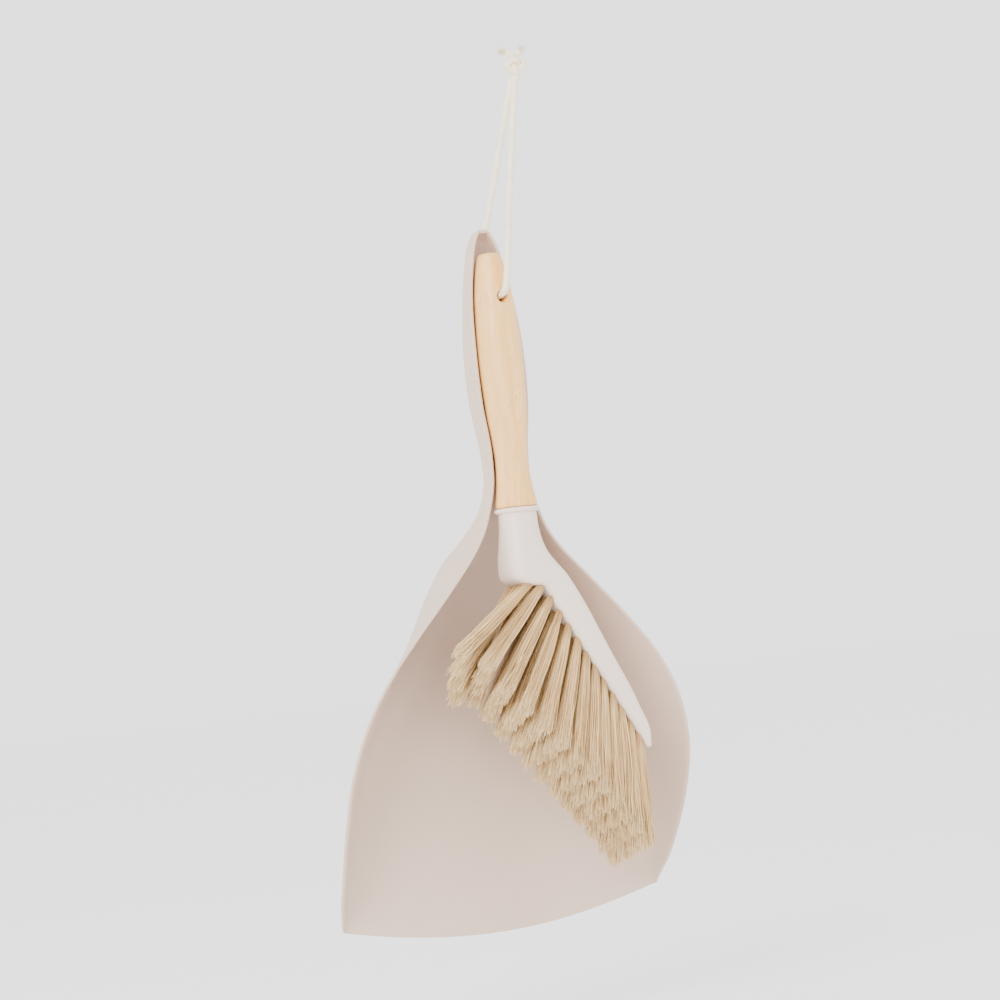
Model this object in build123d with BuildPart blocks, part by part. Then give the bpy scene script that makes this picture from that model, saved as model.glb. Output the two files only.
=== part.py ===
from build123d import *
import os
from math import cos, radians, sin, tan

# A dustpan and a hand brush that nest together and hang from one cord.
# Millimetres.  +Z is up along the brush's handle, the pan's open side faces -Y, and the
# origin is where a hook bears, inside the cord's loop just under its knot.

os.makedirs("parts", exist_ok=True)

# The neck is where the wooden handle stands on the brush head; most sizes count from it.
neck_x = -29.0
neck_z = -235.0

# Pan
wall = 2.0
pan_top = 151.5
pan_front_level = -14.0
base_depth = 65.2
lip_middle = -229.5
lip_radius = 360.0
cord_hole_height = 113.0
cord_hole_radius = 3.0
smallest_inner_radius = 1.2
# Longer than the pan either way, for cuts that clear it.
beyond = 300.0

# Brush
handle_y = -3.0
handle_length = 137.5
spigot_radius = 5.0
spigot_length = 28.0
spigot_clearance = 0.05
spigot_room = 1.0
collar_radius = 12.3
collar_height = 2.8
neck_radius = 10.2

# Tufts: columns run along the head, rows run through its depth.
columns = 13
row_depths = (-11.3, -4.9, 1.5, 7.9)
row_lengths = (62.0, 64.5, 67.5, 71.0)
row_splays = (-8.0, -3.0, 2.0, 7.0)
# Lean in degrees of each row's first tuft, and how fast it falls off along the row.
row_leans = (56.0, 48.0, 41.0, 34.0)
row_fans = (2.3, 2.0, 1.7, 1.3)
last_lean = 7.0
tuft_hole_radius = 2.5
tuft_hole_depth = 7.0
bore_mouth = 4.0
tuft_clearance = 0.05
tuft_tip_radius = 4.4
tuft_gap = 0.4
anchor_size = (3.6, 0.7, 0.8)
anchor_play = 0.05

# Cord
cord_diameter = 3.5
strand_offset = 1.9
knot_radius = 6.6
knot_middle = (1.6, 0.0, 4.8)

# Pan sections, top to lip: height, half width at the rim, rim depth, floor depth,
# wall lean in degrees, corner radius.
pan_sections = (
    (151.5, 3.6, -0.2, 7.0, 0, 2.6),
    (146.0, 6.4, -0.4, 10.0, 0, 4.6),
    (131.0, 10.4, -0.9, 12.0, 0, 6.0),
    (110.0, 13.7, -1.7, 13.3, 0, 7.0),
    (84.0, 15.3, -2.9, 15.2, 0, 7.0),
    (58.0, 14.9, -2.7, 15.5, 0, 7.0),
    (28.0, 11.9, -2.1, 14.3, 0, 7.0),
    (12.0, 12.5, -0.5, 14.4, 0, 7.0),
    (0.0, 15.5, 0.3, 19.0, 0, 9.0),
    (-12.0, 20.3, 0.7, 32.0, 0, 12.0),
    (-24.0, 28.3, 0.5, 46.5, 0, 16.0),
    (-36.0, 39.0, 0.0, 55.0, 5, 24.0),
    (-48.0, 50.2, -0.2, 61.0, 12, 29.0),
    (-62.0, 63.6, 0.7, 64.6, 20, 34.0),
    (-80.0, 79.1, 3.9, 65.5, 26, 37.0),
    (-100.0, 92.4, 7.4, 65.5, 29, 39.0),
    (-130.0, 103.4, 15.6, 65.5, 30, 38.0),
    (-160.0, 106.0, 27.7, 65.5, 30, 34.0),
    (-185.0, 105.0, 40.6, 65.5, 30, 26.0),
    (-205.0, 102.0, 54.0, 65.5, 30, 14.0),
    (-220.0, 98.3, 63.0, 65.5, 30, 4.5),
    (-234.0, 94.6, 63.0, 65.5, 30, 4.5),
)

# The rim seen from the side, as depth and height.
rim_line = (
    (-0.2, 155.0),
    (-1.3, 120.0),
    (-2.9, 84.0),
    (-2.5, 48.0),
    (-0.9, 16.0),
    (0.5, -8.0),
    (0.1, -45.0),
    (3.9, -80.0),
    (12.5, -120.0),
    (22.9, -150.0),
    (37.8, -180.0),
    (50.2, -200.0),
    (62.0, -217.0),
)
# Height at which the rim meets the floor.
rim_foot = -219.0

# Wooden handle, as radius and height.
handle_line = (
    (11.2, 3.0),
    (10.1, 9.0),
    (8.9, 24.0),
    (11.2, 52.0),
    (12.2, 76.0),
    (11.7, 98.0),
    (9.7, 120.0),
    (7.7, 131.0),
    (6.6, 135.0),
)
# The rounded top end: a point on its arc, and the radius of the flat that is left.
handle_crown = (5.8, 136.8)
handle_flat = 4.2

# Sections of the head from neck to tip: left and right points in the front view, depth,
# corner radius and the depth of the middle.
head_sections = (
    ((-neck_radius, -1.0), (neck_radius, -1.0), 20.4, 10.1, -3.0),
    ((-10.4, -12.0), (10.3, -12.0), 21.4, 9.4, -2.9),
    ((-10.8, -21.0), (10.9, -18.6), 23.2, 8.0, -2.5),
    ((-11.1, -30.0), (12.6, -24.4), 25.0, 6.6, -2.1),
    ((-9.2, -38.6), (15.6, -29.8), 26.6, 5.2, -1.8),
    ((-2.8, -42.0), (17.8, -33.2), 27.2, 4.2, -1.75),
    ((4.8, -43.4), (20.6, -37.2), 27.5, 3.6, -1.75),
    ((12.4, -54.8), (26.4, -47.2), 27.5, 3.4, -1.75),
    ((30.0, -85.6), (41.4, -79.2), 27.5, 3.0, -1.75),
    ((48.0, -117.2), (56.4, -112.6), 27.0, 2.6, -1.75),
    ((56.2, -131.6), (61.4, -128.8), 25.6, 1.8, -1.75),
    ((58.0, -134.8), (61.2, -133.2), 23.4, 1.0, -1.75),
)

# The straight face that the tufts stand on, in the front view.
first_root = (-2.5, -42.0)
face_start = (6.0, -42.5)
face_end = (54.6, -127.9)


def level(height):
    """Horizontal plane at a height above the neck."""
    return Plane(origin=(neck_x, 0, neck_z + height))


def front(depth):
    """Plane that faces -Y at a depth, with X to the right and Z up."""
    return Plane(origin=(neck_x, depth, neck_z), x_dir=(1, 0, 0), z_dir=(0, -1, 0))


side = Plane(origin=(neck_x, 0, neck_z), x_dir=(0, 1, 0), z_dir=(1, 0, 0))
handle_axis = Axis((neck_x, handle_y, neck_z), (0, 0, 1))


def from_neck(x, y, z):
    """A point measured from the neck, in the part's own frame."""
    return Vector(neck_x + x, y, neck_z + z)


def write(piece, name):
    """Label a finished piece and write its STEP file."""
    piece.part.label = name
    export_step(piece.part, "parts/" + name + ".step")


def pan_section(height, half_width, rim, floor, lean, radius, inset):
    """One section of the pan as a face: flat floor, round corners and leaning walls."""
    lean = radians(lean)
    floor = floor - inset
    radius = max(radius - inset, smallest_inner_radius)
    half_width = half_width - inset / cos(lean)
    corner = half_width - (floor - rim) * tan(lean)
    reach = radius * tan((radians(90) - lean) / 2)
    flat = corner - reach
    turn = (radians(90) - lean) / 2
    bulge = (flat + radius * sin(turn), floor - radius + radius * cos(turn))
    foot = (corner + reach * sin(lean), floor - reach * cos(lean))
    top = (half_width + (rim - pan_front_level) * tan(lean), pan_front_level)
    with BuildSketch(level(height)) as outline:
        with BuildLine():
            Line((-flat, floor), (flat, floor))
            ThreePointArc((flat, floor), bulge, foot)
            Line(foot, top)
            Line(top, (-top[0], top[1]))
            Line((-top[0], top[1]), (-foot[0], foot[1]))
            ThreePointArc((-foot[0], foot[1]), (-bulge[0], bulge[1]), (-flat, floor))
        make_face()
    return outline.sketch


# ---------------------------------------------------------------- dustpan shell
hollow_sections = ((pan_top - wall,) + pan_sections[0][1:],) + pan_sections[1:]
with BuildPart() as dustpan_shell:
    loft([pan_section(*section, inset=0.0) for section in pan_sections])
    loft([pan_section(*section, inset=wall) for section in hollow_sections], mode=Mode.SUBTRACT)
    # Rim: everything in front of the rim line goes.
    with BuildSketch(side):
        with BuildLine():
            Spline(*rim_line)
            Line(rim_line[-1], (base_depth - wall, rim_foot))
            Line((base_depth - wall, rim_foot), (base_depth - wall, -beyond))
            Polyline((base_depth - wall, -beyond), (-beyond, -beyond), (-beyond, rim_line[0][1]), rim_line[0])
        make_face()
    extrude(amount=beyond, both=True, mode=Mode.SUBTRACT)
    # Base: the flat that the pan rests on.
    with BuildSketch(front(base_depth)):
        Rectangle(2 * beyond, 2 * beyond)
    extrude(amount=-wall, mode=Mode.SUBTRACT)
    # Lip: a shallow outward curve.
    with BuildSketch(front(0)):
        with Locations((0, lip_middle)):
            Rectangle(beyond, beyond / 2)
        with Locations((0, lip_middle + lip_radius)):
            Circle(lip_radius, mode=Mode.SUBTRACT)
    extrude(amount=beyond, both=True, mode=Mode.SUBTRACT)
    # Cord hole through the back of the channel.
    with BuildSketch(front(0)):
        with Locations((0, cord_hole_height)):
            Circle(cord_hole_radius)
    extrude(amount=-base_depth, mode=Mode.SUBTRACT)
write(dustpan_shell, "dustpan_shell")

# ---------------------------------------------------------------- wooden handle
with BuildPart() as wooden_handle:
    with BuildSketch(front(handle_y)):
        with BuildLine():
            Polyline((0, handle_length), (0, 0), (handle_line[0][0], 0), handle_line[0])
            Spline(*handle_line)
            ThreePointArc(handle_line[-1], handle_crown, (handle_flat, handle_length))
            Line((handle_flat, handle_length), (0, handle_length))
        make_face()
    revolve(axis=handle_axis)
    # Cord hole, front to back.
    with BuildSketch(front(0)):
        with Locations((0, cord_hole_height)):
            Circle(cord_hole_radius)
    extrude(amount=base_depth, both=True, mode=Mode.SUBTRACT)
    # Blind bore for the head's spigot.
    with BuildSketch(level(0)):
        with Locations((0, handle_y)):
            Circle(spigot_radius + spigot_clearance)
    extrude(amount=spigot_length + spigot_room, mode=Mode.SUBTRACT)
write(wooden_handle, "wooden_handle")


# ---------------------------------------------------------------- brush head
def tuft_root(column):
    """Where a column of tufts leaves the head, in the front view."""
    if column == 0:
        return first_root
    share = (column - 1) / (columns - 2)
    x = face_start[0] + share * (face_end[0] - face_start[0])
    z = face_start[1] + share * (face_end[1] - face_start[1])
    return (x, z)


def tuft_plane(column, row):
    """Plane at a tuft's root that looks along the tuft; its own x follows the column."""
    share = 1 - column / (columns - 1)
    lean = radians(last_lean + (row_leans[row] - last_lean) * share ** row_fans[row])
    x, z = tuft_root(column)
    length = row_lengths[row]
    along = Vector(-length * sin(lean), row_splays[row], -length * cos(lean))
    across = Vector(cos(lean), 0, -sin(lean))
    return Plane(origin=from_neck(x, row_depths[row], z), x_dir=across, z_dir=along)


def head_section(left, right, depth, corner, middle):
    """Rounded section of the head that spans two points of the front view."""
    span = Vector(right[0] - left[0], 0, right[1] - left[1])
    centre = from_neck((left[0] + right[0]) / 2, middle, (left[1] + right[1]) / 2)
    with BuildSketch(Plane(origin=centre, x_dir=span, z_dir=(-span.Z, 0, span.X))) as outline:
        RectangleRounded(span.length, depth, corner)
    return outline.sketch


with BuildPart() as tuft_bores:
    for column in range(columns):
        for row in range(len(row_depths)):
            with BuildSketch(tuft_plane(column, row).offset(bore_mouth)):
                Circle(tuft_hole_radius)
            extrude(amount=-(tuft_hole_depth + bore_mouth))

with BuildPart() as brush_head:
    # Neck, heel and tapering arm: one flowing form lofted through rounded sections.
    loft([head_section(*section) for section in head_sections], ruled=True)
    # Collar bead that the wood stands on.
    with BuildSketch(front(handle_y)):
        with Locations((collar_radius / 2, -collar_height / 2)):
            Rectangle(collar_radius, collar_height)
    revolve(axis=handle_axis)
    # Spigot inside the wood.
    with BuildSketch(level(0)):
        with Locations((0, handle_y)):
            Circle(spigot_radius)
    extrude(amount=spigot_length)
    # A blind hole for each tuft.
    add(tuft_bores.part, mode=Mode.SUBTRACT)
write(brush_head, "brush_head")

# ---------------------------------------------------------------- bristle tufts
# Each column is one node of separate tufts, one for each row.
tuft_root_radius = tuft_hole_radius - tuft_clearance
anchor_top = tuft_hole_depth - anchor_size[2] - 2 * anchor_play


def tuft_half_width(column, row):
    """How wide a tuft can open along the head before it meets the next column's tuft."""
    plane = tuft_plane(column, row)
    tip = plane.origin + plane.z_dir * row_lengths[row]
    room = []
    for other in (column - 1, column + 1):
        if 0 <= other < columns:
            beside = tuft_plane(other, row)
            beside_tip = beside.origin + beside.z_dir * row_lengths[row]
            room.append(abs((beside_tip - tip).dot(plane.x_dir)))
    return min(tuft_tip_radius, (min(room) - tuft_gap) / 2)


for column in range(columns):
    with BuildPart() as bristle_tufts:
        for row, length in enumerate(row_lengths):
            plane = tuft_plane(column, row)
            with BuildSketch(plane.offset(-anchor_top)):
                Circle(tuft_root_radius)
            extrude(amount=anchor_top + bore_mouth)
            with BuildSketch(plane.offset(bore_mouth)):
                Circle(tuft_root_radius)
            with BuildSketch(plane.offset(length)):
                Ellipse(tuft_half_width(column, row), tuft_tip_radius)
            loft()
    write(bristle_tufts, f"bristle_tufts_{column + 1:02d}")

# Flat wire anchors at the bottom of the holes, one for each tuft.
with BuildPart() as tuft_anchor_wires:
    for column in range(columns):
        for row in range(len(row_depths)):
            with BuildSketch(tuft_plane(column, row).offset(-tuft_hole_depth + anchor_play)):
                Rectangle(anchor_size[0], anchor_size[1])
            extrude(amount=anchor_size[2])
write(tuft_anchor_wires, "tuft_anchor_wires")

# ---------------------------------------------------------------- cord
# One taut loop: down the front, through the wood, through the pan's back and up again.
# It is written as a front run and a back run that meet between the wood and the pan.
meeting_y = 11.0
front_route = (
    Vector(0, -strand_offset, 0),
    from_neck(0.8, -17.8, 118.4),
    from_neck(0, -14.2, cord_hole_height),
    from_neck(0, meeting_y, cord_hole_height),
)
back_route = (
    from_neck(0, meeting_y, cord_hole_height),
    from_neck(0, 17.4, cord_hole_height),
    from_neck(0.7, 19.8, 118.6),
    Vector(0, strand_offset, 0),
)


def bend_radii(route):
    """Largest tangent arc for each corner: 0.45 of the shorter run over tan(half turn)."""
    radii = []
    for before, here, after in zip(route, route[1:], route[2:]):
        shorter = min((here - before).length, (after - here).length)
        turn = (here - before).get_angle(after - here)
        radii.append(0.45 * shorter / tan(radians(turn) / 2))
    return radii


def cord_tube(route, name):
    """Sweep the cord's round section along straight runs and tangent arcs."""
    radii = bend_radii(route)
    with BuildPart() as tube:
        with BuildLine() as path:
            FilletPolyline(*route, radius=radii)
        with BuildSketch(Plane(origin=route[0], z_dir=route[1] - route[0])):
            Circle(cord_diameter / 2)
        sweep(path=path.wire(), transition=Transition.ROUND)
    length = path.wire().length
    expected = Face(Wire.make_circle(cord_diameter / 2)).area * length
    print(name, "radii", [round(radius, 1) for radius in radii], "length", round(length, 1))
    print(name, "volume over section times length", round(tube.part.volume / expected, 4))
    write(tube, name)


cord_tube(front_route, "cord_front_run")
cord_tube(back_route, "cord_back_run")

# The knot, a plain ball with its foot cut flat where the two strands come in.
with BuildPart() as cord_knot:
    with Locations(knot_middle):
        Sphere(knot_radius)
    split(bisect_by=Plane.XY, keep=Keep.TOP)
write(cord_knot, "cord_knot")

# The cord's two cut ends above the knot.
tail_routes = (
    (Vector(-0.5, -1.2, 10.2), Vector(-3.2, -1.8, 15.4), Vector(-6.2, -1.0, 18.8)),
    (Vector(3.6, 1.0, 10.2), Vector(6.4, 1.6, 15.2), Vector(7.2, 0.6, 19.6)),
)
with BuildPart() as cord_tails:
    for route in tail_routes:
        with BuildLine() as path:
            FilletPolyline(*route, radius=bend_radii(route))
        with BuildSketch(Plane(origin=route[0], z_dir=route[1] - route[0])):
            Circle(cord_diameter / 2)
        sweep(path=path.wire(), transition=Transition.ROUND)
write(cord_tails, "cord_tails")
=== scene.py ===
# %% [markdown]
# # A dustpan and hand brush, hanging from one cord
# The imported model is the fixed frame: it says where every part is. This lesson gives each
# part its finished surface and material, and leaves the frame's own parts where they are.

import bmesh
import bpy
import numpy as np
from mathutils import Matrix, Vector


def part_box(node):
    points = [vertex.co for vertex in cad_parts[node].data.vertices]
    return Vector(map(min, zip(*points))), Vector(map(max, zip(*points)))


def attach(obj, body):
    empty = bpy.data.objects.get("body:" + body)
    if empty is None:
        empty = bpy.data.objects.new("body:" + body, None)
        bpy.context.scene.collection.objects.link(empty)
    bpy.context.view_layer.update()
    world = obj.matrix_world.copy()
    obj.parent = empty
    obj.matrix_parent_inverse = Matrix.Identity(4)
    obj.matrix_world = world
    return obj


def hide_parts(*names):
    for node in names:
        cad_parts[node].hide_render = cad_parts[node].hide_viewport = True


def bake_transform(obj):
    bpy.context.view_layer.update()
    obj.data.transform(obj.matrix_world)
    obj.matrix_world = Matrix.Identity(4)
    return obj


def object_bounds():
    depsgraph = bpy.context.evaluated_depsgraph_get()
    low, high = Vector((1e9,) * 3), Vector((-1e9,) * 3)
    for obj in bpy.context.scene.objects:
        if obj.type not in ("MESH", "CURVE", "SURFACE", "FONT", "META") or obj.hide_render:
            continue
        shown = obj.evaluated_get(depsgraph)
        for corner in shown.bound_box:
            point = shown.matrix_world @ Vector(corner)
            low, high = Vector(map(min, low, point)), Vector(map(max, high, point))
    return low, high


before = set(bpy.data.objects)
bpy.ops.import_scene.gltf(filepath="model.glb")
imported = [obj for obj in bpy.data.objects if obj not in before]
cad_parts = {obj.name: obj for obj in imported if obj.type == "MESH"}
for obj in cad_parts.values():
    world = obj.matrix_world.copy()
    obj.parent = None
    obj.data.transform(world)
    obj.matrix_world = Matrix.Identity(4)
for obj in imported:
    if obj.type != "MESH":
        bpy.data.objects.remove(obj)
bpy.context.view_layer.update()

# %% [markdown]
# Most sizes count from the neck, where the wooden handle stands on the brush head. The frame
# gives that point: the middle of the handle's box, at its foot. Sizes are written in
# millimetres, as on a drawing, and one helper turns them into metres in the frame.

# %% Where the neck is
MM = 0.001
handle_low, handle_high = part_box("wooden_handle")
NECK = np.array([(handle_low[0] + handle_high[0]) / 2, 0.0, handle_low[2]])
HANDLE_Y = (handle_low[1] + handle_high[1]) / 2 / MM
print("neck at", NECK.round(4))


def from_neck(points):
    """Millimetres from the neck, turned into metres in the frame."""
    return NECK + MM * np.asarray(points, float)


# %% [markdown]
# The camera stands low on the left and looks slightly up, as at a set on a hook. Its three axes are
# worked out from the azimuth, the elevation and a small roll.

# %% Camera
AZIMUTH = np.radians(28.0)
ELEVATION = np.radians(-3.0)
ROLL = np.radians(6.3)
CAMERA_PLACE = from_neck((-709.5, -1319.5, -73.4))
look = np.array([
    np.sin(AZIMUTH) * np.cos(ELEVATION),
    np.cos(AZIMUTH) * np.cos(ELEVATION),
    -np.sin(ELEVATION),
])
level_right = np.array([np.cos(AZIMUTH), -np.sin(AZIMUTH), 0.0])
level_up = np.cross(level_right, look)
right = level_right * np.cos(ROLL) - level_up * np.sin(ROLL)
up = level_right * np.sin(ROLL) + level_up * np.cos(ROLL)
turn = Matrix((right, up, -look)).transposed().to_4x4()
camera_data = bpy.data.cameras.new("studio_camera")
camera_data.lens = 100.56
camera = bpy.data.objects.new("studio_camera", camera_data)
camera.matrix_world = Matrix.Translation(CAMERA_PLACE) @ turn
bpy.context.collection.objects.link(camera)
bpy.context.scene.camera = camera
print("camera at", CAMERA_PLACE.round(3))

# %% [markdown]
# Every new surface is a grid of points, worked out as whole arrays. Three helpers serve all
# of them: a smooth curve through a few chosen values, a grid turned into a mesh, and a
# round cutter for the cord holes.

# %% Smooth curves through chosen values
def smooth(at, places, values):
    """Cubic Hermite curve through (places, values); each slope is that of its two neighbours.

    Within a span the curve is the usual mix of the two values and the two slopes, with
    weights 2s^3-3s^2+1, s^3-2s^2+s, 3s^2-2s^3 and s^3-s^2.
    """
    order = np.argsort(places)
    x = np.asarray(places, float)[order]
    y = np.asarray(values, float)[order]
    slope = np.gradient(y, x)
    at = np.clip(at, x[0], x[-1])
    k = np.clip(np.searchsorted(x, at) - 1, 0, len(x) - 2)
    span = x[k + 1] - x[k]
    s = (at - x[k]) / span
    return (
        (2 * s**3 - 3 * s**2 + 1) * y[k]
        + (s**3 - 2 * s**2 + s) * span * slope[k]
        + (3 * s**2 - 2 * s**3) * y[k + 1]
        + (s**3 - s**2) * span * slope[k + 1]
    )


# %% Grids into meshes
def grid_faces(rows, columns, ring):
    """Four corners of each face of a grid; a ring joins its last column to its first."""
    across = columns if ring else columns - 1
    i, j = np.meshgrid(np.arange(rows - 1), np.arange(across), indexing="ij")
    k = (j + 1) % columns
    below, above = i * columns, (i + 1) * columns
    return np.stack([below + j, below + k, above + k, above + j], -1)


def make_mesh(name, points, quads, triangles=np.empty((0, 3), int)):
    """A mesh object from points, four-cornered faces and triangles."""
    mesh = bpy.data.meshes.new(name)
    corners = np.concatenate([quads.ravel(), triangles.ravel()]).astype(np.int32)
    starts = np.concatenate([
        np.arange(0, quads.size, 4),
        quads.size + np.arange(0, triangles.size, 3),
    ]).astype(np.int32)
    mesh.vertices.add(len(points))
    mesh.vertices.foreach_set("co", points.astype(np.float32).ravel())
    mesh.loops.add(len(corners))
    mesh.loops.foreach_set("vertex_index", corners)
    mesh.polygons.add(len(starts))
    mesh.polygons.foreach_set("loop_start", starts)
    mesh.update(calc_edges=True)
    mesh.validate()
    piece = bpy.data.objects.new(name, mesh)
    bpy.context.collection.objects.link(piece)
    return piece


def shade_smooth(piece, sharp=None):
    """Smooth shading, but for edges that turn by more than sharp degrees."""
    piece.data.polygons.foreach_set("use_smooth", np.ones(len(piece.data.polygons), bool))
    if sharp is not None:
        piece.data.set_sharp_from_angle(angle=np.radians(sharp))


def capped_tube(name, rows, sharp=None):
    """Rings of points (rows, columns, 3) joined into a closed form, its ends drawn together."""
    first = np.repeat(rows[:1].mean(1, keepdims=True), rows.shape[1], 1)
    last = np.repeat(rows[-1:].mean(1, keepdims=True), rows.shape[1], 1)
    rows = np.concatenate([first, rows, last])
    faces = grid_faces(rows.shape[0], rows.shape[1], ring=True)
    piece = make_mesh(name, rows.reshape(-1, 3), faces)
    return outward(piece, sharp)


def outward(piece, sharp=None):
    """Merge doubled points, drop flat faces and turn every face outwards."""
    work = bmesh.new()
    work.from_mesh(piece.data)
    bmesh.ops.remove_doubles(work, verts=work.verts, dist=2e-6)
    bmesh.ops.dissolve_degenerate(work, edges=work.edges, dist=1e-7)
    bmesh.ops.recalc_face_normals(work, faces=work.faces)
    work.to_mesh(piece.data)
    work.free()
    shade_smooth(piece, sharp)
    return piece


# %% A turned form and a cut hole
BEYOND = 6.0
MOUTH_LIP = 0.2
MOUTH_BEVEL = 1.2
HOLE_EDGE_ANGLE = 38


def turned(name, profile, middle, segments=96, sharp=None):
    """A lathe form: each (radius, height) of the profile swept round a line parallel to Z."""
    profile = np.asarray(profile, float)
    angle = np.linspace(0, 2 * np.pi, segments, endpoint=False)
    radius, height = profile[:, :1], profile[:, 1:]
    x = middle[0] + radius * np.cos(angle)
    y = middle[1] + radius * np.sin(angle)
    z = middle[2] + height + 0 * angle
    return capped_tube(name, from_neck(np.stack([x, y, z], -1)), sharp)


def drill(piece, height, mouths, radius, flare):
    """Cut a round hole along Y whose mouths, at the two depths, open by flare."""
    near = mouths[0] + np.array([-BEYOND, -MOUTH_LIP, MOUTH_BEVEL])
    far = mouths[1] + np.array([-MOUTH_BEVEL, MOUTH_LIP, BEYOND])
    depth = np.concatenate([near, far])
    size = radius + flare * np.array([1, 1, 0, 0, 1, 1])
    angle = np.linspace(0, 2 * np.pi, 40, endpoint=False)
    x = size[:, None] * np.cos(angle)
    z = height + size[:, None] * np.sin(angle)
    y = depth[:, None] + 0 * angle
    cutter = capped_tube("cutter", from_neck(np.stack([x, y, z], -1)))
    cut = piece.modifiers.new("hole", "BOOLEAN")
    cut.operation = "DIFFERENCE"
    cut.solver = "EXACT"
    cut.object = cutter
    result = bpy.data.meshes.new_from_object(
        piece.evaluated_get(bpy.context.evaluated_depsgraph_get())
    )
    piece.modifiers.clear()
    piece.data = result
    bpy.data.objects.remove(cutter)
    shade_smooth(piece, HOLE_EDGE_ANGLE)
    print(piece.name, "drilled, faces", len(piece.data.polygons))


# %% [markdown]
# Shader maths reads best as ordinary expressions. A small class wraps a socket, so that
# `1 - mask` adds a Math node by itself, and one method makes every other kind of node.

# %% Wires and finishes
class Wire:
    """A node's output that can stand in an arithmetic expression."""

    def __init__(self, tree, socket):
        self.tree = tree
        self.socket = socket

    def _math(self, operation, first, second):
        node = self.tree.nodes.new("ShaderNodeMath")
        node.operation = operation
        for place, value in zip(node.inputs, (first, second)):
            if isinstance(value, Wire):
                self.tree.links.new(value.socket, place)
            else:
                place.default_value = value
        return Wire(self.tree, node.outputs[0])

    def __add__(self, other):
        return self._math("ADD", self, other)

    __radd__ = __add__

    def __sub__(self, other):
        return self._math("SUBTRACT", self, other)

    def __rsub__(self, other):
        return self._math("SUBTRACT", other, self)

    def __mul__(self, other):
        return self._math("MULTIPLY", self, other)

    __rmul__ = __mul__


class Finish:
    """One material: fixed shader sockets, and wires for what changes over the surface."""

    def __init__(self, name, **fixed):
        self.material = bpy.data.materials.new(name)
        self.material.use_nodes = True
        self.tree = self.material.node_tree
        self.shader = self.tree.nodes["Principled BSDF"]
        for socket, value in fixed.items():
            self.shader.inputs[socket.replace("_", " ")].default_value = value

    def node(self, kind, sockets=(), out=0, stops=None, **settings):
        """Any node: its settings first, then its sockets' values or links; returns one output."""
        made = self.tree.nodes.new("ShaderNode" + kind)
        for setting, value in settings.items():
            setattr(made, setting, value)
        if stops:
            ramp = made.color_ramp
            while len(ramp.elements) < len(stops):
                ramp.elements.new(0.5)
            for element, (place, colour) in zip(ramp.elements, stops):
                element.position = place
                element.color = (*colour, 1)
        for socket, value in dict(sockets).items():
            if isinstance(value, Wire):
                self.tree.links.new(value.socket, made.inputs[socket])
            else:
                made.inputs[socket].default_value = value
        return Wire(self.tree, made.outputs[out])

    def place(self, scale=(1, 1, 1), middle=(0, 0, 0)):
        """Object coordinates, moved to a middle and stretched."""
        coordinates = self.node("TexCoord", out="Object")
        sockets = {"Vector": coordinates, "Location": tuple(middle), "Scale": tuple(scale)}
        return self.node("Mapping", sockets)

    def noise(self, where, scale, detail=3.0, roughness=0.5, distortion=0.0):
        """Cloudy noise from 0 to 1."""
        sockets = {"Vector": where, "Scale": scale, "Detail": detail}
        sockets.update({"Roughness": roughness, "Distortion": distortion})
        return self.node("TexNoise", sockets)

    def ramp(self, value, low, high):
        """0 below low, 1 above high, smooth between."""
        sockets = {"Value": value, "From Min": low, "From Max": high}
        return self.node("MapRange", sockets, interpolation_type="SMOOTHSTEP")

    def mix(self, share, first, second):
        """Colour mix of two colours or wires."""
        first = (*first, 1) if isinstance(first, tuple) else first
        second = (*second, 1) if isinstance(second, tuple) else second
        return self.node("Mix", {0: share, 6: first, 7: second}, out=2, data_type="RGBA")

    def attribute(self, name):
        """A number that the mesh carries at each point."""
        return self.node("Attribute", out="Fac", attribute_name=name)

    def feed(self, socket, value):
        """Send a wire into one of the shader's sockets."""
        self.tree.links.new(value.socket, self.shader.inputs[socket])

    def bump(self, height, strength, distance):
        """Raise the surface by a height wire."""
        sockets = {"Height": height, "Strength": strength, "Distance": distance}
        self.feed("Normal", self.node("Bump", sockets))

    def put_on(self, piece):
        """Give the whole piece this one material."""
        piece.data.materials.clear()
        piece.data.materials.append(self.material)


# %% [markdown]
# ## Moulded plastic
# The pan and the brush head are moulded in a warm grey-beige plastic with a satin face. Up
# close such a face has a very fine grain, a faint cloudiness in its tone, and hairline scuffs
# that change its gloss more than its colour.

# %% Plastic
def plastic(name, tone, roughness, scuffs):
    """Satin moulded plastic: cloudy tone, fine grain and long faint scuffs in its gloss."""
    darker = tuple(c * 0.94 for c in tone)
    finish = Finish(name, Roughness=roughness, Coat_Weight=0.0, IOR=1.46, Specular_IOR_Level=0.4)
    cloud = finish.noise(finish.place(), 14.0, detail=4.0)
    speck = finish.noise(finish.place(), 1400.0, detail=1.0)
    shade = finish.ramp(cloud * 0.8 + speck * 0.2, 0.3, 0.7)
    finish.feed("Base Color", finish.mix(shade, darker, tone))
    grain = finish.noise(finish.place(), 2600.0, detail=2.0)
    streak = finish.noise(finish.place((60, 60, 900)), 1.0, detail=5.0, distortion=0.6)
    marks = finish.ramp(streak, 0.62, 0.74)
    finish.feed("Roughness", roughness - 0.05 + cloud * 0.08 + marks * scuffs)
    finish.bump(grain * 0.7 + marks * 0.3, 0.12, 0.0002)
    return finish


pan_plastic = plastic("pan_plastic", (0.640, 0.480, 0.375), 0.42, 0.07)
brush_plastic = plastic("brush_plastic", (0.800, 0.660, 0.565), 0.34, 0.05)
print("plastics ready")

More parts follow.
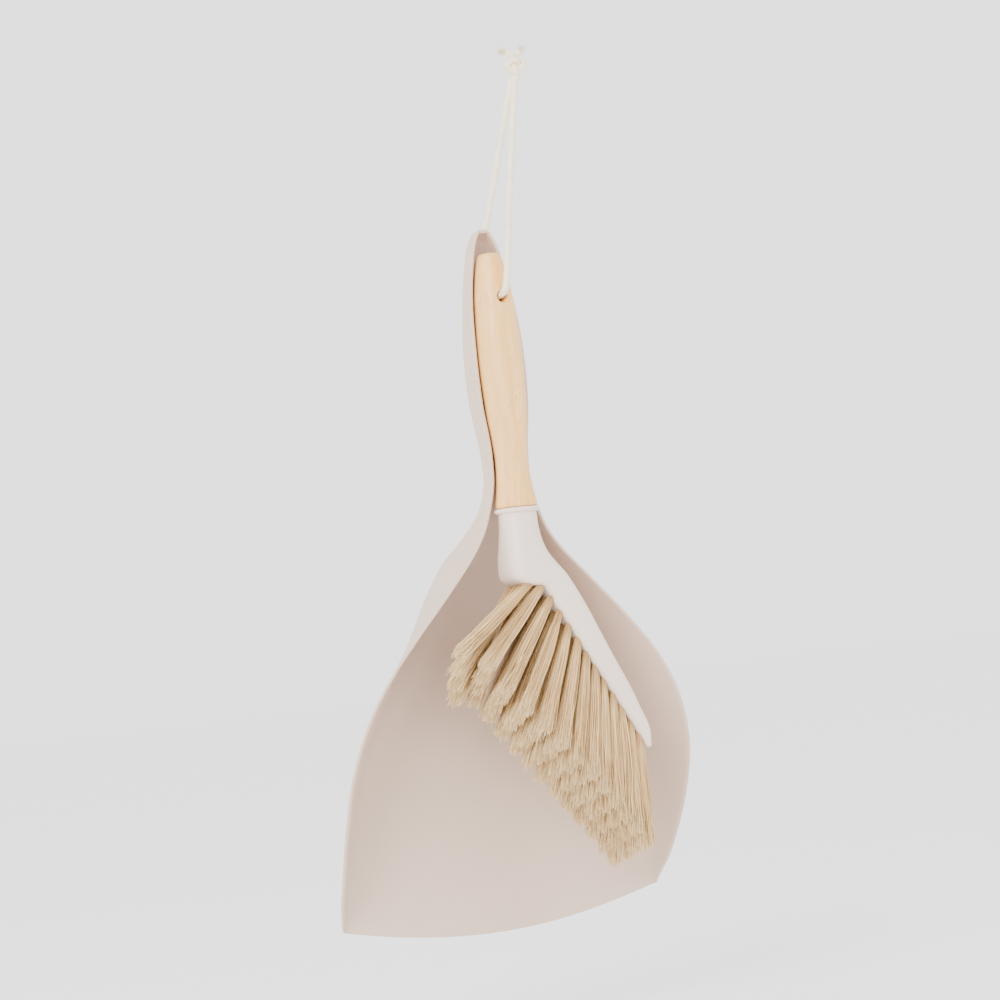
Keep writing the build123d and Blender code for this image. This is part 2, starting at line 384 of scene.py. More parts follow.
# %% [markdown]
# ## The pan
# The pan is one shell. Its section is a flat floor, two round corners and two walls that lean
# outwards. Down its length the section grows from a narrow channel into a wide scoop, and the
# floor drops away behind the neck. So the surface is a function of two parameters: how far
# down the pan, and how far round the section.

# %% Pan sizes
PAN_TOP = 151.5
PAN_WALL = 2.0
BASE_DEPTH = 65.2
LIP_MIDDLE = -229.5
LIP_RADIUS = 360.0
LIP_HALF_WIDTH = 98.3
CORD_HOLE_HEIGHT = 113.0
CORD_HOLE_RADIUS = 3.0
ROUND_STEPS = 54
TOP_SPAN = 6.5
TOP_ROUND = 2.2
LIP_START = -95.0
LIP_TAPER = 7.0
HOLLOW_END = 5.0
HOLLOW_ROUND = 3.0
# Height, half width at the rim, rim depth, floor depth, wall lean, corner radius.
PAN_SECTIONS = np.array([
    (151.5, 3.6, -0.2, 7.0, 0, 2.6),
    (146.0, 6.4, -0.4, 10.0, 0, 4.6),
    (131.0, 10.4, -0.9, 12.0, 0, 6.0),
    (110.0, 13.7, -1.7, 13.3, 0, 7.0),
    (84.0, 15.3, -2.9, 15.2, 0, 7.0),
    (58.0, 14.9, -2.7, 15.5, 0, 7.0),
    (28.0, 11.9, -2.1, 14.3, 0, 7.0),
    (12.0, 12.5, -0.5, 14.4, 0, 7.0),
    (0.0, 15.5, 0.3, 19.0, 0, 9.0),
    (-12.0, 20.3, 0.7, 32.0, 0, 12.0),
    (-24.0, 28.3, 0.5, 46.5, 0, 16.0),
    (-36.0, 39.0, 0.0, 55.0, 5, 24.0),
    (-48.0, 50.2, -0.2, 61.0, 12, 29.0),
    (-62.0, 63.6, 0.7, 64.6, 20, 34.0),
    (-80.0, 79.1, 3.9, 65.5, 26, 37.0),
    (-100.0, 92.4, 7.4, 65.5, 29, 39.0),
    (-130.0, 103.4, 15.6, 65.5, 30, 38.0),
    (-160.0, 106.0, 27.7, 65.5, 30, 34.0),
    (-185.0, 105.0, 40.6, 65.5, 30, 26.0),
    (-205.0, 102.0, 54.0, 65.5, 30, 14.0),
    (-220.0, 98.3, 63.0, 65.5, 30, 4.5),
    (-234.0, 94.6, 63.0, 65.5, 30, 4.5),
])
# The rim seen from the side, as depth and height.
RIM_LINE = np.array([
    (-0.2, 155.0), (-1.3, 120.0), (-2.9, 84.0), (-2.5, 48.0), (-0.9, 16.0), (0.5, -8.0),
    (0.1, -45.0), (3.9, -80.0), (12.5, -120.0), (22.9, -150.0), (37.8, -180.0),
    (50.2, -200.0), (62.0, -217.0), (62.6, -235.0),
])


# %% Pan surface
def pan_side(share, height, inset):
    """Point of the pan's section: share runs from the floor's middle (0) to the rim (1 or -1).

    The distance along the section is the share of its length up to the rim. That distance
    falls on the flat floor, on the corner's arc or on the leaning wall, each with its formula.
    """
    half, rim, floor, lean, radius = (
        smooth(height, PAN_SECTIONS[:, 0], PAN_SECTIONS[:, k]) for k in range(1, 6)
    )
    lean = np.radians(np.maximum(lean, 0))
    cut = smooth(height, RIM_LINE[:, 1], RIM_LINE[:, 0]) + PAN_WALL / 2
    floor = np.minimum(floor, BASE_DEPTH) - inset
    radius = np.maximum(radius - inset, 1.2)
    half = half - inset / np.cos(lean)
    corner = half - (floor - rim) * np.tan(lean)
    reach = radius * np.tan((np.pi / 2 - lean) / 2)
    flat = corner - reach
    bend = np.pi / 2 - lean
    depth = np.maximum(floor - cut, 0.05)
    bend_depth = reach * np.cos(lean)
    with_wall = flat + radius * bend + (depth - bend_depth) / np.cos(lean)
    in_bend = flat + radius * np.arccos(np.clip(1 - depth / radius, -1, 1))
    run = np.abs(share) * np.where(depth > bend_depth, with_wall, in_bend)
    turned_by = np.clip((run - flat) / radius, 0, bend)
    up_wall = np.maximum(run - flat - radius * bend, 0)
    x = np.minimum(run, flat) + radius * np.sin(turned_by) + up_wall * np.sin(lean)
    y = floor - radius * (1 - np.cos(turned_by)) - up_wall * np.cos(lean)
    return np.sign(share) * x, y, lean, cut


def pan_surface():
    """Outer face, round rim, inner face and round rim again: one ring for each height."""
    heights = np.concatenate([
        PAN_TOP - TOP_SPAN * (1 - np.cos(np.linspace(0, np.pi / 2, 22)))[:-1],
        np.linspace(PAN_TOP - TOP_SPAN, 20, 66)[:-1],
        np.linspace(20, LIP_START, 84)[:-1],
        np.linspace(LIP_START, LIP_MIDDLE, 76),
    ])
    # The points stand closer together towards the rims, where the section bends most.
    share = np.sin(np.linspace(-np.pi / 2, np.pi / 2, 2 * ROUND_STEPS + 1)) * 0.35
    share = share + np.linspace(-1, 1, 2 * ROUND_STEPS + 1) * 0.65
    row, column = heights[:, None], share[None, :]
    lip = LIP_MIDDLE + (LIP_HALF_WIDTH * column) ** 2 / (2 * LIP_RADIUS)
    stretch = (lip - LIP_START) / (LIP_MIDDLE - LIP_START)
    level = np.where(row < LIP_START, LIP_START + (row - LIP_START) * stretch, row)
    column = column + 0 * row
    thinned = 1.0 + (row - LIP_MIDDLE) / LIP_TAPER
    inset = np.where(row < LIP_MIDDLE + LIP_TAPER, thinned, PAN_WALL)
    out_x, out_y, lean, cut = pan_side(column, level, 0 * row)
    in_x, in_y, _, _ = pan_side(column, level, inset + 0 * column)
    # The hollow ends in a rounded wall below the top of the channel.
    closing = np.clip((level - (PAN_TOP - HOLLOW_END)) / HOLLOW_ROUND, 0, 1)
    in_y = cut + np.sqrt(1 - closing**2) * (in_y - cut)
    outer = np.stack([out_x, out_y, level], -1)
    inner = np.stack([in_x, in_y, level], -1)
    # Rim: half a circle from the outer edge over to the inner edge.
    angle = np.linspace(0, np.pi, 9)[1:-1][None, :, None]
    rims = []
    for side in (-1, 0):
        a, b = outer[:, side, None], inner[:, side, None]
        tilt = lean[:, side]
        sign = 1.0 if side == -1 else -1.0
        rise = np.stack([sign * np.sin(tilt), -np.cos(tilt), 0 * tilt], -1)[:, None]
        half = (a - b) / 2
        size = np.linalg.norm(half, axis=-1, keepdims=True)
        rims.append((a + b) / 2 + half * np.cos(angle) + rise * size * np.sin(angle))
    rings = np.concatenate([outer, rims[0], inner[:, ::-1], rims[1][:, ::-1]], 1)
    # Top: the last rings draw in to a rounded end.
    end = np.clip((rings[..., 2:] - (PAN_TOP - TOP_ROUND)) / TOP_ROUND, 0, 1)
    keep = 0.35 + 0.65 * np.sqrt(1 - end**2)
    middle = np.concatenate([rings[:1, :, :2].mean(1), [[PAN_TOP]]], 1)
    rings[..., :2] = middle[0, :2] + (rings[..., :2] - middle[0, :2]) * keep
    return rings, outer.shape[1], rims[0].shape[1]


def fan(corners):
    """Triangles from the first corner to each next pair of the others."""
    first = np.full(len(corners) - 2, corners[0])
    return np.stack([first, corners[1:-1], corners[2:]], -1)


# %% Close the pan's mesh
# The mesh is closed by the lip's seam, by a fan at each end of the lip and by the top's fan.
rings, span, rim_points = pan_surface()
rows, ring_size = rings.shape[:2]
base = (rows - 1) * ring_size
inner_start = base + span + rim_points
inner_end = inner_start + span - 1
k = np.arange(span - 1)
lip_faces = np.stack([base + k, base + k + 1, inner_end - k - 1, inner_end - k], -1)
right_rim = base + span + np.arange(rim_points)
left_rim = inner_end + 1 + np.arange(rim_points)
right_end = np.concatenate([[base + span - 1], right_rim, [inner_start]])
left_end = np.concatenate([[inner_end], left_rim, [base]])
points = from_neck(rings.reshape(-1, 3))
points = np.concatenate([points, [points[:ring_size].mean(0)]])
j = np.arange(ring_size)
top_faces = np.stack([0 * j + len(points) - 1, (j + 1) % ring_size, j], -1)
body_faces = grid_faces(rows, ring_size, ring=True).reshape(-1, 4)
quads = np.concatenate([body_faces, lip_faces])
triangles = np.concatenate([fan(right_end), fan(left_end), top_faces])

# %% Build the pan
pan = outward(make_mesh("pan", points, quads, triangles))
drill(pan, CORD_HOLE_HEIGHT, (10.9, 13.6), CORD_HOLE_RADIUS, 0.5)
pan_plastic.put_on(pan)
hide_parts("dustpan_shell")
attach(pan, "pan")
print("pan rings", rows, "points round each", ring_size)

# %% [markdown]
# ## The wooden handle
# The handle is turned from a pale, close-grained wood. Its grain runs along it: long soft
# streaks of light and dark, and short thin pores that show as darker dashes. Both come from
# noise that is stretched along the handle, and the pores are the peaks of a finer noise.

# %% Wood
def pale_wood():
    """Long streaks, broad growth bands and short pores, under a thin lacquer."""
    finish = Finish("pale_wood", Roughness=0.4, Coat_Weight=0.12, Coat_Roughness=0.3)
    here = tuple(NECK + MM * np.array([0, HANDLE_Y, 0]))
    along = finish.place((1, 1, 0.07), tuple(-c for c in (here[0], here[1], 0.0)))
    band = finish.noise(along, 85.0, detail=3.0, distortion=0.8)
    streak = finish.noise(along, 420.0, detail=4.0, roughness=0.6)
    bands = finish.ramp(band, 0.35, 0.68)
    light = finish.mix(bands, (0.950, 0.560, 0.190), (0.830, 0.430, 0.120))
    tone = finish.mix(finish.ramp(streak, 0.42, 0.70) * 0.5, light, (0.720, 0.360, 0.100))
    short = finish.place((1, 1, 0.16), tuple(-c for c in (here[0], here[1], 0.0)))
    pore = finish.noise(short, 1500.0, detail=1.0)
    pores = finish.ramp(pore, 0.66, 0.74)
    finish.feed("Base Color", finish.mix(pores * 0.55, tone, (0.42, 0.225, 0.090)))
    finish.feed("Roughness", 0.36 + streak * 0.14 + pores * 0.2)
    finish.bump(streak * 0.4 - pores, 0.18, 0.0003)
    return finish


wood = pale_wood()

# %% Turn the handle
HANDLE_LENGTH = 137.5
HANDLE_LINE = np.array([
    (11.2, 3.0), (10.1, 9.0), (8.9, 24.0), (11.2, 52.0), (12.2, 76.0), (11.7, 98.0),
    (9.7, 120.0), (7.7, 131.0), (6.6, 135.0),
])
levels = np.linspace(3.0, 135.0, 120)
waist = np.stack([smooth(levels, HANDLE_LINE[:, 1], HANDLE_LINE[:, 0]), levels], -1)
turning = np.linspace(0, np.pi / 2, 9)[1:]
crown = np.stack([4.2 + 2.4 * np.cos(turning), 135.0 + 2.5 * np.sin(turning)], -1)
foot = np.array([(10.7, 0.05), (11.1, 0.3), (11.25, 0.9), (11.25, 2.0)])
crown_flat = np.array([(3.0, HANDLE_LENGTH), (1.5, HANDLE_LENGTH)])
handle_profile = np.concatenate([foot, waist, crown, crown_flat])
handle = turned("handle", handle_profile, (0, HANDLE_Y, 0))
drill(handle, CORD_HOLE_HEIGHT, (-13.6, 7.6), CORD_HOLE_RADIUS, 0.7)
wood.put_on(handle)
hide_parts("wooden_handle")
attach(handle, "brush")

# %% [markdown]
# ## The brush head
# The head is one moulding: a collar bead that the wood stands on, a round neck, a heel and an
# arm that tapers to its tip. Its surface is a rounded section carried from neck to tip. Each
# section spans two points of the front view and has its own depth and corner radius.

# %% Head sections
# Left point, right point, depth, corner radius and the depth of the middle.
HEAD_SECTIONS = np.array([
    (-10.2, -1.0, 10.2, -1.0, 20.4, 10.1, -3.0),
    (-10.4, -12.0, 10.3, -12.0, 21.4, 9.4, -2.9),
    (-10.8, -21.0, 10.9, -18.6, 23.2, 8.4, -2.5),
    (-11.1, -30.0, 12.6, -24.4, 25.0, 7.6, -2.1),
    (-9.2, -38.6, 15.6, -29.8, 26.6, 6.6, -1.8),
    (-2.8, -42.0, 17.8, -33.2, 27.2, 5.4, -1.75),
    (4.8, -43.4, 20.6, -37.2, 27.5, 4.6, -1.75),
    (12.4, -54.8, 26.4, -47.2, 27.5, 4.2, -1.75),
    (30.0, -85.6, 41.4, -79.2, 27.5, 3.8, -1.75),
    (48.0, -117.2, 56.4, -112.6, 27.0, 3.2, -1.75),
    (56.2, -131.6, 61.4, -128.8, 25.6, 2.3, -1.75),
    (58.0, -134.8, 61.2, -133.2, 23.4, 1.4, -1.75),
])


# %% Head surface
def head_surface(rows=130, corner_steps=9):
    """Rounded rectangles along the head: a corner's points go round its centre in an arc."""
    middle = (HEAD_SECTIONS[:, 0:2] + HEAD_SECTIONS[:, 2:4]) / 2
    gone = np.concatenate([[0], np.cumsum(np.linalg.norm(np.diff(middle, axis=0), axis=1))])
    at = np.linspace(0, gone[-1], rows)
    lx, lz, rx, rz, depth, radius, centre = (
        smooth(at, gone, HEAD_SECTIONS[:, k]) for k in range(7)
    )
    across = np.stack([rx - lx, rz - lz], -1)
    width = np.linalg.norm(across, axis=1)
    across = across / width[:, None]
    radius = np.minimum(radius, 0.495 * np.minimum(width, depth))
    corner = np.repeat([(1, 1), (-1, 1), (-1, -1), (1, -1)], corner_steps, 0)
    step = np.tile(np.linspace(0, np.pi / 2, corner_steps), 4)
    angle = step + np.repeat(np.arange(4) * np.pi / 2, corner_steps)
    a = corner[:, 0] * (width / 2 - radius)[:, None] + radius[:, None] * np.cos(angle)
    b = corner[:, 1] * (depth / 2 - radius)[:, None] + radius[:, None] * np.sin(angle)
    x = ((lx + rx) / 2)[:, None] + a * across[:, :1]
    z = ((lz + rz) / 2)[:, None] + a * across[:, 1:]
    return np.stack([x, centre[:, None] + b, z], -1)


def head_tip(ring, steps=6, reach=1.6):
    """Round the tip off: rings that shrink by a cosine while they move on by a sine."""
    angle = np.linspace(0, np.pi / 2, steps + 1)[1:, None, None]
    middle = ring.mean(0)
    onward = np.array([0.494, 0.0, -0.869]) * reach
    inner = middle + (ring - middle) * np.array([0.35, 0.93, 0.35])
    return inner + (ring - inner) * np.cos(angle) + onward * np.sin(angle)


head_rows = head_surface()
head_rows = np.concatenate([head_rows, head_tip(head_rows[-1])])
head = capped_tube("head", from_neck(head_rows), sharp=50)
brush_plastic.put_on(head)
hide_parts("brush_head")
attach(head, "brush")

# The collar is a turned bead with a fine groove under the wood.
bead = np.linspace(-np.pi / 2, np.pi / 2, 15)
collar_profile = np.stack([11.1 + 1.2 * np.cos(bead), -1.5 + 1.3 * np.sin(bead)], -1)
collar_foot = [(9.0, -3.0), (10.2, -3.0)]
collar_top = [(10.4, -0.15), (9.0, -0.1)]
collar_profile = np.concatenate([collar_foot, collar_profile, collar_top])
collar = turned("collar", collar_profile, (0, HANDLE_Y, 0), sharp=50)
brush_plastic.put_on(collar)
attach(collar, "brush")
print("head rings", len(head_rows))

# %% [markdown]
# ## The tufts
# Fifty-two tufts of plant fibre fan out from the head. Each fibre is a thin three-sided
# straw that is a little bent and cut at its own length, and each has its own tone.

# %% Where the tufts stand
COLUMNS = 13
ROW_DEPTHS = (-11.3, -4.9, 1.5, 7.9)
ROW_LENGTHS = (62.0, 64.5, 67.5, 71.0)
ROW_SPLAYS = (-8.0, -3.0, 2.0, 7.0)
ROW_LEANS = (56.0, 48.0, 41.0, 34.0)
ROW_FANS = (2.3, 2.0, 1.7, 1.3)
LAST_LEAN = 7.0
TUFT_ROOT = 1.75
TUFT_TIP = 4.2
HEEL_TUFT = (-2.5, -42.0)
ARM_TUFTS_START = (6.0, -42.5)
ARM_TUFTS_RUN = (48.6, -85.4)
SUNK = 1.5
FIBRE_STEPS = 6


def tuft_axes(column, row):
    """Root point, direction along, direction across, and direction through, of one tuft."""
    if column == 0:
        x, z = HEEL_TUFT
    else:
        share = (column - 1) / (COLUMNS - 2)
        x, z = (a + share * b for a, b in zip(ARM_TUFTS_START, ARM_TUFTS_RUN))
    share = 1 - column / (COLUMNS - 1)
    lean = np.radians(LAST_LEAN + (ROW_LEANS[row] - LAST_LEAN) * share ** ROW_FANS[row])
    length = ROW_LENGTHS[row]
    along = np.array([-length * np.sin(lean), ROW_SPLAYS[row], -length * np.cos(lean)])
    along = along / np.linalg.norm(along)
    across = np.array([np.cos(lean), 0.0, -np.sin(lean)])
    return np.array([x, ROW_DEPTHS[row], z]), along, across, np.cross(along, across)


# %% Fibres
def straw_faces(count, steps):
    """Side faces and tips of count three-sided straws, each of that many steps."""
    starts = np.arange(count)[:, None] * steps * 3
    sides = grid_faces(steps, 3, ring=True).reshape(-1, 4)
    tips = starts + steps * 3 - 3 + np.arange(3)
    return (sides[None] + starts[..., None]).reshape(-1, 4), tips


def fibres(column, row, count, random):
    """Bent tapering straws of one tuft: points, sides, tips, a tone and the way along.

    A fibre's middle line runs straight from its root in a small disc to its tip in a larger
    one, and a half sine wave sideways bends it. Its three edges stand round that line.
    """
    root, along, across, through = tuft_axes(column, row)
    length = ROW_LENGTHS[row]
    share = np.linspace(0, 1, FIBRE_STEPS)[None, :, None]
    angle = random.uniform(0, 2 * np.pi, count)
    spot = np.sqrt(random.uniform(0, 1, count))
    disc = np.stack([spot * np.cos(angle), spot * np.sin(angle)], -1)
    cut = random.normal(0, 0.02, count) - np.abs(random.normal(0, 0.022, count))
    reach = length * (1 + cut) + SUNK - 2.0 * spot**2
    open_to = TUFT_TIP * (1 + random.normal(0, 0.10, (count, 2)))
    open_now = 0.25 * share + 0.75 * share**1.7
    sides = (disc * TUFT_ROOT)[:, None] * (1 - open_now) + (disc * open_to)[:, None] * open_now
    bow = random.normal(0, 0.8, (count, 1, 2)) * np.sin(np.pi * share)
    curl = random.normal(0, 0.9, (count, 1, 2)) * share**4
    sides = np.clip(sides + bow + curl, -TUFT_TIP, TUFT_TIP)
    middle = (
        root
        + along * (reach[:, None, None] * share - SUNK)
        + across * sides[..., :1]
        + through * sides[..., 1:]
    )
    thick = (0.34 - 0.16 * share[..., 0]) * random.uniform(0.8, 1.2, (count, 1))
    edge = random.uniform(0, 2 * np.pi, (count, 1, 1)) + np.arange(3) * 2 * np.pi / 3
    ring = (
        middle[:, :, None]
        + thick[..., None, None] * np.cos(edge)[..., None] * across
        + thick[..., None, None] * np.sin(edge)[..., None] * through
    )
    tone = np.repeat(random.uniform(0, 1, count), FIBRE_STEPS * 3)
    part = np.broadcast_to(share, (count, FIBRE_STEPS, 3)).ravel()
    return ring.reshape(-1, 3), *straw_faces(count, FIBRE_STEPS), tone, part


def tuft_column(column, count):
    """One column of four tufts as a single mesh that carries tone and along at each point."""
    random = np.random.default_rng(400 + column)
    points, quads, tips, tones, parts, start = [], [], [], [], [], 0
    for row in range(len(ROW_DEPTHS)):
        p, q, t, tone, part = fibres(column, row, count, random)
        points.append(p)
        quads.append(q + start)
        tips.append(t + start)
        tones.append(tone)
        parts.append(part)
        start += len(p)
    points = from_neck(np.concatenate(points))
    name = f"tufts_{column + 1:02d}"
    piece = make_mesh(name, points, np.concatenate(quads), np.concatenate(tips))
    for attribute, values in (("tone", tones), ("along", parts)):
        layer = piece.data.attributes.new(attribute, "FLOAT", "POINT")
        layer.data.foreach_set("value", np.concatenate(values).astype(np.float32))
    shade_smooth(piece)
    return piece


# %% Fibre finish
def fibre():
    """Straw colours from fibre to fibre, painted shade darkening each fibre towards its root where
    the tufts pack, paler at the cut tips.
    """
    finish = Finish("bristle_fibre", Roughness=0.55, Specular_IOR_Level=0.35)
    tone = finish.attribute("tone")
    along = finish.attribute("along")
    mottle = finish.noise(finish.place(), 260.0, detail=2.0)
    age = finish.ramp(tone * 0.8 + mottle * 0.3, 0.15, 0.95)
    straw = finish.mix(age, (0.58, 0.350, 0.135), (0.90, 0.640, 0.320))
    # Painted shade: the part of each fibre nearest the head is darkened, as if shaded by the packed
    # tufts.
    shaded_roots = finish.mix(finish.ramp(along, 0.0, 0.22), (0.44, 0.260, 0.105), straw)
    tips = finish.ramp(along, 0.82, 1.0) * 0.35
    finish.feed("Base Color", finish.mix(tips, shaded_roots, (0.94, 0.720, 0.410)))
    finish.feed("Roughness", 0.5 + mottle * 0.15)
    return finish


bristle = fibre()
FIBRES = 200
for column in range(COLUMNS):
    tufts = tuft_column(column, FIBRES)
    bristle.put_on(tufts)
    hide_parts(f"bristle_tufts_{column + 1:02d}")
    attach(tufts, "brush")
print("tuft columns", COLUMNS, "fibres in each tuft", FIBRES)

# %% [markdown]
# The wire anchors sit out of sight at the bottom of the tufts' holes. They are the frame's
# own part and only need a drawn-steel finish.

# %% Anchor wire
steel = Finish("anchor_wire", Metallic=1.0, Roughness=0.35)
drawn = steel.noise(steel.place((40, 40, 900)), 6.0, detail=2.0)
steel.feed("Base Color", steel.mix(drawn, (0.42, 0.42, 0.43), (0.62, 0.62, 0.63)))
steel.feed("Roughness", 0.28 + drawn * 0.2)
steel.put_on(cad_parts["tuft_anchor_wires"])

# %% [markdown]
# ## The cord
# The cord is soft cotton, three yarns twisted together. It is pulled tight: down the front,
# through the wood, through the pan's back and up again to one knot. Each run follows a smooth
# spline through the same points as its solid, and the twist is a three-lobed section that
# turns as it goes.

# %% Smooth line of a cord
CORD_WIDTH = 3.5
STRAND = 1.9
MEETING = 11.0
front_route = np.array([
    (0, -STRAND * MM, 0),
    *from_neck([(14.6, -9.4, 178.0), (3.4, -16.6, 129.5)]),
    *from_neck([(0.8, -17.8, 118.4), (0, -14.2, CORD_HOLE_HEIGHT), (0, MEETING, CORD_HOLE_HEIGHT)]),
])
back_route = np.array([
    *from_neck([(0, MEETING, CORD_HOLE_HEIGHT), (0, 17.4, CORD_HOLE_HEIGHT), (0.7, 19.8, 118.6)]),
    *from_neck([(3.2, 18.2, 129.5), (15.0, 10.6, 178.0)]),
    (0, STRAND * MM, 0),
])


def spline_line(name, route, spacing):
    """Points along a smooth open spline of order 3 through the route, spacing millimetres apart."""
    curve = bpy.data.curves.new(name, "CURVE")
    curve.dimensions = "3D"
    spline = curve.splines.new("NURBS")
    spline.points.add(len(route) - 1)
    spline.points.foreach_set("co", np.c_[route, np.ones(len(route))].ravel())
    spline.order_u = 3
    spline.use_endpoint_u = True
    spline.resolution_u = 64
    holder = bpy.data.objects.new(name, curve)
    bpy.context.collection.objects.link(holder)
    bpy.context.view_layer.update()
    mesh = bpy.data.meshes.new_from_object(
        holder.evaluated_get(bpy.context.evaluated_depsgraph_get())
    )
    line = np.empty(len(mesh.vertices) * 3)
    mesh.vertices.foreach_get("co", line)
    line = line.reshape(-1, 3)
    bpy.data.objects.remove(holder)
    bpy.data.meshes.remove(mesh)
    gone = np.concatenate([[0], np.cumsum(np.linalg.norm(np.diff(line, axis=0), axis=1))])
    keep = np.concatenate([[True], np.diff(gone) > 1e-9])
    steps = np.linspace(0, gone[-1], int(gone[-1] / (spacing * MM)) + 2)
    return np.stack([np.interp(steps, gone[keep], line[keep, k]) for k in range(3)], -1)


# %% Twisted section along a line
def twisted(name, line, width, lay=0.010, lobes=3, points_round=24):
    """A cord of twisted yarns: the radius dips between lobes, and the lobes turn along the line.

    A frame is carried along the line without spin: each step keeps the last side direction
    less its part along the new tangent. The groove value is 0 on a yarn's crown and 1 between.
    """
    tangent = np.gradient(line, axis=0)
    tangent /= np.linalg.norm(tangent, axis=1, keepdims=True)
    side = np.cross(tangent[0], (0.31, 0.2, 0.93))
    sides = []
    for along in tangent:
        side = side - along * (side @ along)
        side = side / np.linalg.norm(side)
        sides.append(side)
    sides = np.array(sides)
    others = np.cross(tangent, sides)
    gone = np.concatenate([[0], np.cumsum(np.linalg.norm(np.diff(line, axis=0), axis=1))])
    angle = np.linspace(0, 2 * np.pi, points_round, endpoint=False)[None]
    groove = np.abs(np.sin(lobes / 2 * (angle - 2 * np.pi * gone[:, None] / (lay * lobes / 3))))
    radius = width / 2 * (1.04 - 0.20 * (1 - groove) ** 2)
    ring = line[:, None] + radius[..., None] * (
        np.cos(angle)[..., None] * sides[:, None] + np.sin(angle)[..., None] * others[:, None]
    )
    return capped_tube(name, ring)


def cotton():
    """Undyed cotton: fine fuzz and a slightly darker tone here and there."""
    finish = Finish("cotton_cord", Roughness=0.85, Specular_IOR_Level=0.2, Sheen_Weight=0.25)
    fuzz = finish.noise(finish.place(), 2400.0, detail=3.0)
    cloud = finish.noise(finish.place(), 180.0, detail=2.0)
    age = finish.ramp(fuzz * 0.5 + cloud * 0.5, 0.3, 0.7)
    finish.feed("Base Color", finish.mix(age, (0.84, 0.70, 0.50), (0.97, 0.87, 0.70)))
    finish.feed("Roughness", 0.8 + fuzz * 0.15)
    finish.bump(fuzz, 0.35, 0.0003)
    return finish


cotton_finish = cotton()


# %% Lay the two runs
def finish_cord(piece, node):
    """Cotton finish on one piece of cord, and the frame's node that it replaces hidden."""
    cotton_finish.put_on(piece)
    if node:
        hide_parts(node)


front_line = spline_line("front_line", front_route, 0.3)
back_line = spline_line("back_line", back_route, 0.12)
front_cord = twisted("cord_front", front_line, CORD_WIDTH * MM)
back_cord = twisted("cord_back", back_line, CORD_WIDTH * MM)
finish_cord(front_cord, "cord_front_run")
finish_cord(back_cord, "cord_back_run")
for line, piece in ((front_line, front_cord), (back_line, back_cord)):
    length = np.linalg.norm(np.diff(line, axis=0), axis=1).sum()
    print(piece.name, "length", round(float(length), 4))


# %% [markdown]
# The knot is a plain overhand knot in the doubled cord. An overhand knot's line is the open
# form of a trefoil: x = sin t + 2 sin 2t, y = cos t - 2 cos 2t, and a height of -sin 3t that
# takes it over and under itself. Two cords follow it side by side.

# %% Knot
KNOT_MIDDLE = np.array([1.6, 0.0, 5.6])
KNOT_SIZE = 1.42
KNOT_CORD = 3.3 * MM
FRAY_COUNT = 90
FRAY_STEPS = 5
FRAY_THICK = 0.16 * MM


def trefoil(scale, lift, phase):
    """Closed trefoil line in the XZ plane, lifted towards the front by lift."""
    t = np.linspace(0, 2 * np.pi, 181)[:-1] + phase
    x = np.sin(t) + 2 * np.sin(2 * t)
    z = np.cos(t) - 2 * np.cos(2 * t)
    y = -1.55 * np.sin(3 * t)
    line = KNOT_MIDDLE + scale * np.stack([x, y, z], -1) + np.array([0, lift, 0])
    return line * MM


def looped(name, line, width):
    """A closed twisted cord: the line is run once round and met with itself."""
    closed = np.concatenate([line, line[:2]])
    return twisted(name, closed, width)


knot_front = looped("knot_front", trefoil(KNOT_SIZE, -1.4, 0.0), KNOT_CORD)
knot_back = looped("knot_back", trefoil(KNOT_SIZE, 1.5, 0.5), KNOT_CORD)
for knot in (knot_front, knot_back):
    finish_cord(knot, "cord_knot")
    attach(knot, "pan")


# %% Cut ends
def cut_end(name, route, random):
    """A short tail whose yarns come apart into fine fibres at its end."""
    line = spline_line(name + "_line", np.array(route) * MM, 0.3)
    tail = twisted(name, line, CORD_WIDTH * MM)
    finish_cord(tail, "cord_tails")
    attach(tail, "pan")
    onward = line[-1] - line[-4]
    onward = onward / np.linalg.norm(onward)
    share = np.linspace(0, 1, FRAY_STEPS)[None, :, None]
    start = line[-1] - onward * 0.001 + random.normal(0, 0.0007, (FRAY_COUNT, 1, 3))
    out = onward * 0.0034 * random.uniform(0.6, 1.2, (FRAY_COUNT, 1, 1))
    spread = random.normal(0, 0.0011, (FRAY_COUNT, 1, 3))
    middle = start + out * share + spread * share**1.6
    angle = np.arange(3) * 2 * np.pi / 3
    a = np.cross(onward, (0.0, 1.0, 0.2))
    a = a / np.linalg.norm(a)
    b = np.cross(onward, a)
    spoke = np.cos(angle)[:, None] * a + np.sin(angle)[:, None] * b
    ring = middle[:, :, None] + FRAY_THICK * spoke
    quads, tips = straw_faces(FRAY_COUNT, FRAY_STEPS)
    fray = make_mesh(name + "_fray", ring.reshape(-1, 3), quads, tips)
    finish_cord(fray, None)
    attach(fray, "pan")
    return tail, fray


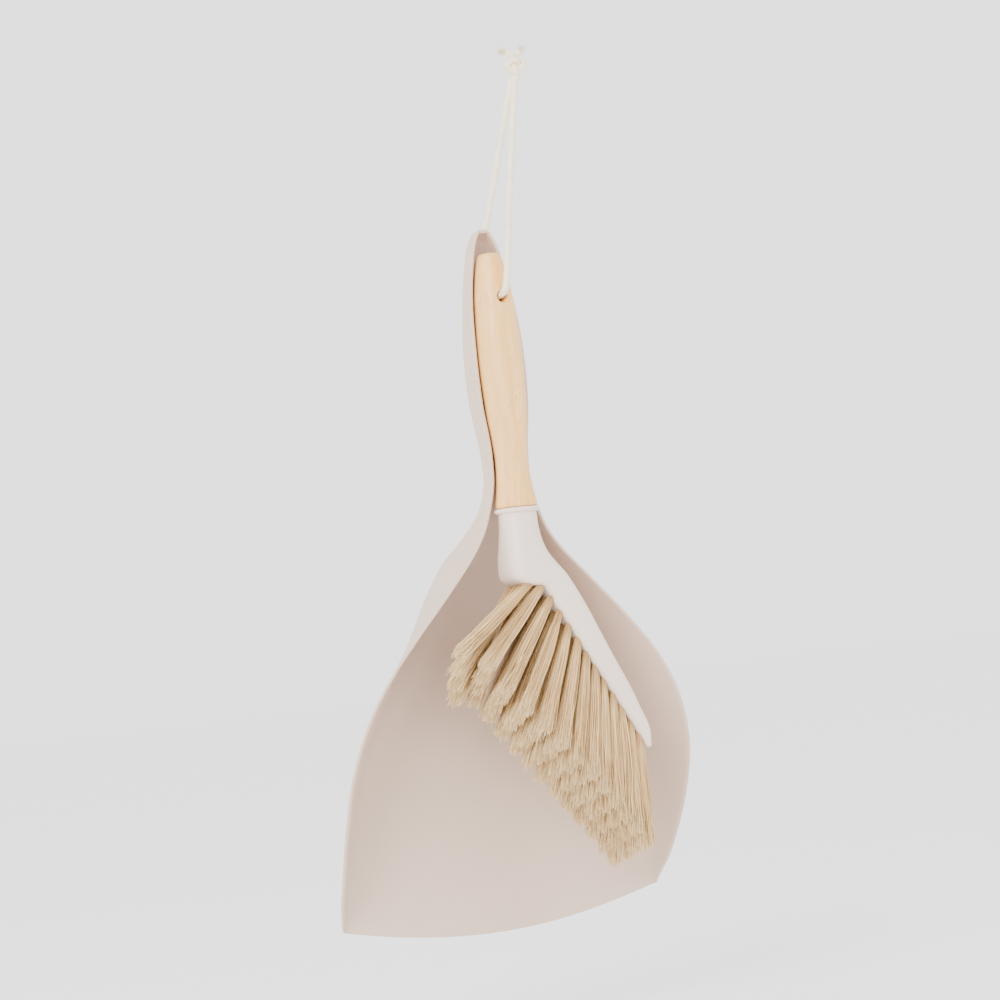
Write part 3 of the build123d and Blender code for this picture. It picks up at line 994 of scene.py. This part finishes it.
random = np.random.default_rng(7)
left_route = [(0.4, -1.4, 9.0), (-0.8, -2.2, 11.6), (-2.8, -2.3, 12.8), (-4.6, -1.8, 13.4)]
right_route = [(2.6, 0.4, 9.0), (3.2, 0.2, 11.4), (4.0, -0.2, 12.8), (5.0, -0.4, 14.0)]
left_tail, left_fray = cut_end("tail_left", left_route, random)
right_tail, right_fray = cut_end("tail_right", right_route, random)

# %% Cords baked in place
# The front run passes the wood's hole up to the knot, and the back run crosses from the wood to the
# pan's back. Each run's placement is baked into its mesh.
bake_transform(front_cord)
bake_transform(back_cord)

# %% [markdown]
# ## The studio
# A plain pale floor lies below the hanging set, and the light is a bright even room with one
# large soft lamp on the left and a weaker one on the right.

# %% Floor and light
low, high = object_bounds()
floor_mesh = bpy.data.meshes.new("floor")
reach = 12.0
level = low[2] - 0.06
floor_corners = [(-reach, -reach), (reach, -reach), (reach, reach), (-reach, reach)]
floor_mesh.from_pydata([(x, y, level) for x, y in floor_corners], [], [(0, 1, 2, 3)])
floor = bpy.data.objects.new("floor", floor_mesh)
bpy.context.collection.objects.link(floor)
floor_finish = Finish("floor_white", Roughness=0.95, Base_Color=(0.98, 0.98, 0.98, 1))
floor_finish.put_on(floor)

world = bpy.data.worlds.new("studio")
bpy.context.scene.world = world
world.use_nodes = True
world.node_tree.nodes["Background"].inputs["Color"].default_value = (1, 1, 1, 1)
world.node_tree.nodes["Background"].inputs["Strength"].default_value = 2.4


def lamp(name, place, size, power):
    """A square soft lamp at a place in the frame, aimed at the middle of the set."""
    light = bpy.data.lights.new(name, "AREA")
    light.shape = "SQUARE"
    light.size = size
    light.energy = power
    holder = bpy.data.objects.new(name, light)
    bpy.context.collection.objects.link(holder)
    aim = (low + high) / 2 - Vector(place)
    holder.location = place
    holder.rotation_mode = "QUATERNION"
    holder.rotation_quaternion = aim.to_track_quat("-Z", "Y")


lamp("key_lamp", (-1.5, -1.2, 0.5), 0.9, 40)
lamp("fill_lamp", (1.6, -1.4, 0.2), 1.4, 3)
